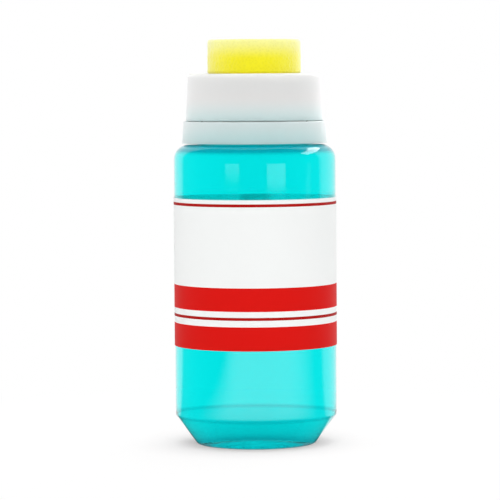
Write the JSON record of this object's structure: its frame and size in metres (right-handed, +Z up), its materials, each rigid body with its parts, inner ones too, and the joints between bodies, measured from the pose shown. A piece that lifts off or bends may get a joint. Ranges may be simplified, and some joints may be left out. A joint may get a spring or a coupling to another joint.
{
  "type": "envelope moistener",
  "caption": "Free-standing squeeze bottle of moistening fluid with a screw collar that holds a foam sponge tip for wetting envelope flaps and stamps.",
  "frame": {"origin": "middle of the bottle's foot, on the surface that it stands on", "axes": "+Z up the bottle's axis to the sponge tip; the label's front faces -Y and its lapped seam faces +Y"},
  "size_m": [0.0362, 0.0364, 0.0901],
  "materials": {
    "clear_bottle": "clear blow-moulded, glossy",
    "cyan_fluid": "clear dyed liquid",
    "label_film": "satin printed film",
    "natural_plastic": "translucent white moulding, satin",
    "white_plastic": "white moulding, satin",
    "gasket_rubber": "soft white elastomer",
    "yellow_foam": "open-cell foam"
  },
  "bodies": {
    "bottle": {"bottle": "clear_bottle", "moistening_fluid": "cyan_fluid", "wrap_label": "label_film"},
    "tamper_band": {"tamper_band": "natural_plastic"},
    "applicator": {"sponge_cup": "white_plastic", "neck_gasket": "gasket_rubber"},
    "collar": {"screw_collar": "natural_plastic"},
    "sponge_tip": {"sponge": "yellow_foam"}
  },
  "joints": [
    {"name": "band_spin", "type": "hinge", "parent": "bottle", "child": "tamper_band", "pos_m": [0, 0, 0.0695], "axis": [0, 0, 1], "continuous": true},
    {"name": "applicator_lift", "type": "slide", "parent": "bottle", "child": "applicator", "axis": [0, 0, 1], "range_m": [0, 0.0033]},
    {"name": "collar_turn", "type": "hinge", "parent": "applicator", "child": "collar", "pos_m": [0, 0, 0.0773], "axis": [0, 0, 1], "range_deg": [0, 440]},
    {"name": "sponge_press", "type": "slide", "parent": "applicator", "child": "sponge_tip", "axis": [0, 0, -1], "range_m": [0, 0.0035], "stiffness_N_per_m": 400, "deforming": ["sponge"]}
  ],
  "couplings": [
    {"joint": "applicator_lift", "follows": "collar_turn", "m_per_rad": 0.00042972}
  ]
}
